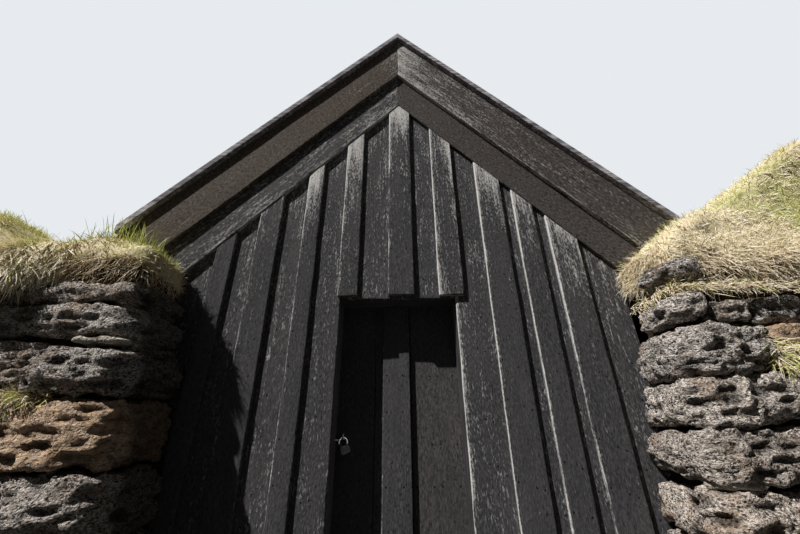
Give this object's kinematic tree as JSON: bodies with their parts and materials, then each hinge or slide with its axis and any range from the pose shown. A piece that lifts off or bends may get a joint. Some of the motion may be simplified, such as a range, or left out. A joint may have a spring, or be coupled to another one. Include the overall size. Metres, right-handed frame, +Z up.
{
  "type": "turf house",
  "caption": "Gabled turf house: tarred upright boards and bargeboards between dry-stone wall ends, a low plank door that opens inward, and a steep turf roof over a timber frame.",
  "frame": {"origin": "on the ground, on the gable's centre line, in the front plane of its under-boards, on the underside of the front sill", "axes": "+X to the right of the gable, +Y into the house, +Z up"},
  "size_m": [5.56, 6.08, 4.5465],
  "materials": {
    "tarred_wood": "matt black tar, worn grey along edges and grain",
    "inner_wood": "unpainted, darkened by age",
    "stone": "rough dark lava with lichen",
    "turf": "grassed turf, straw and green, with brown roots at its edges",
    "iron": "worn grey iron"
  },
  "bodies": {
    "house": {"left_wall_end": "stone", "right_wall_end": "stone", "left_side_wall": "stone", "right_side_wall": "stone", "back_wall": "stone", "front_sill": "tarred_wood", "left_door_post": "tarred_wood", "right_door_post": "tarred_wood", "lintel_beam": "tarred_wood", "left_under_boards": "tarred_wood", "over_door_under_boards": "tarred_wood", "right_under_boards": "tarred_wood", "left_over_boards": "tarred_wood", "over_door_over_boards": "tarred_wood", "right_over_boards": "tarred_wood", "left_inner_bargeboard": "tarred_wood", "right_inner_bargeboard": "tarred_wood", "left_outer_bargeboard": "tarred_wood", "right_outer_bargeboard": "tarred_wood", "left_verge_cap": "tarred_wood", "right_verge_cap": "tarred_wood", "left_roof_boards": "inner_wood", "right_roof_boards": "inner_wood", "left_roof_turf": "turf", "right_roof_turf": "turf", "left_wall_plate": "inner_wood", "right_wall_plate": "inner_wood", "left_rafters": "inner_wood", "right_rafters": "inner_wood", "collar_beams": "inner_wood", "tie_beams": "inner_wood", "left_wall_turf": "turf", "right_wall_turf": "turf", "left_front_turf": "turf", "right_front_turf": "turf", "back_gable_turf": "turf", "hinge_pintles": "iron", "jamb_staple": "iron"},
    "door": {"door_planks": "tarred_wood", "door_cover_plank": "tarred_wood", "door_ledges": "inner_wood", "door_straps": "iron", "door_staple": "iron", "padlock": "iron"}
  },
  "joints": [
    {"name": "door_hinge", "type": "hinge", "parent": "house", "child": "door", "pos_m": [0.41, 0.2577, 0.95], "axis": [0, 0, -1], "range_deg": [0, 100]}
  ]
}
